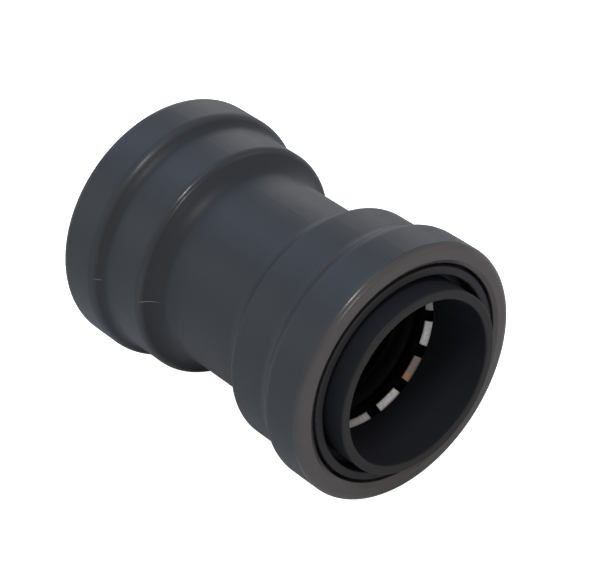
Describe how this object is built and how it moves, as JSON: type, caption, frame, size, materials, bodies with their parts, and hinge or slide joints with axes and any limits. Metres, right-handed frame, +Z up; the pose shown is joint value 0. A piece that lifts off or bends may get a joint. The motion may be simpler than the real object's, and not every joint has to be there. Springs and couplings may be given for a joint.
{
  "type": "push to connect fitting",
  "caption": "Straight push-to-connect pipe coupling: a stepped round body with a toothed steel grab ring, a seal and a spring-back release collet in each open end.",
  "frame": {"origin": "on the coupling's axis, at the middle of the body, which is the centre of the whole part", "axes": "+X along the pipe axis, out of the right-hand end; Z up with the coupling lying on its side"},
  "size_m": [0.0774, 0.0526, 0.0527],
  "materials": {
    "body_pvc": "satin moulded, dark slate grey",
    "retainer_plastic": "satin moulded, charcoal",
    "collet_plastic": "satin moulded, charcoal grey",
    "stainless_steel": "bright stamped",
    "guard_plastic": "satin moulded, near black",
    "seal_rubber": "soft satin, lightly greased"
  },
  "bodies": {
    "housing": {"coupling_body": "body_pvc", "left_retainer_ring": "retainer_plastic", "right_retainer_ring": "retainer_plastic", "left_grab_ring": "stainless_steel", "right_grab_ring": "stainless_steel", "left_tooth_guard": "guard_plastic", "right_tooth_guard": "guard_plastic", "left_o_ring": "seal_rubber", "right_o_ring": "seal_rubber"},
    "left_release": {"left_release_collet": "collet_plastic"},
    "right_release": {"right_release_collet": "collet_plastic"}
  },
  "joints": [
    {"name": "left_release_slide", "type": "slide", "parent": "housing", "child": "left_release", "axis": [1, 0, 0], "range_m": [0, 0.0022], "stiffness_N_per_m": 6000, "deforming": ["left_grab_ring"]},
    {"name": "right_release_slide", "type": "slide", "parent": "housing", "child": "right_release", "axis": [-1, 0, 0], "range_m": [0, 0.0022], "stiffness_N_per_m": 6000, "deforming": ["right_grab_ring"]}
  ]
}
